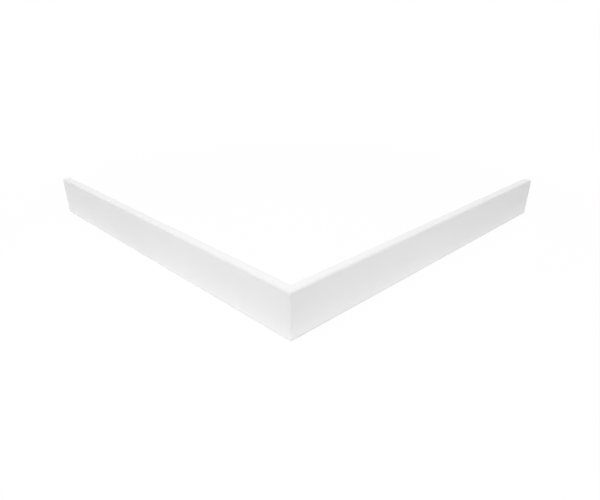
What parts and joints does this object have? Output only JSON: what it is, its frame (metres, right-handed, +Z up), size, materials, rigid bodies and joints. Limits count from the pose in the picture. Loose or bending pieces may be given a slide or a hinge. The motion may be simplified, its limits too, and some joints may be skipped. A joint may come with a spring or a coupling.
{
  "type": "shower tray panel",
  "caption": "L-shaped upright panel of white acrylic sheet with an inward lip along its top, closing the gap under a raised shower tray on its two open sides.",
  "frame": {"origin": "floor level, at the middle of the square that the two legs lie along", "axes": "+Z up; the front leg runs along X and faces -Y, the side leg runs along Y and faces +X, and the outer corner points to +X and -Y"},
  "size_m": [0.9, 0.9, 0.093],
  "materials": {
    "white_acrylic": "gloss"
  },
  "bodies": {
    "root": {"tray_panel": "white_acrylic"}
  },
  "joints": []
}
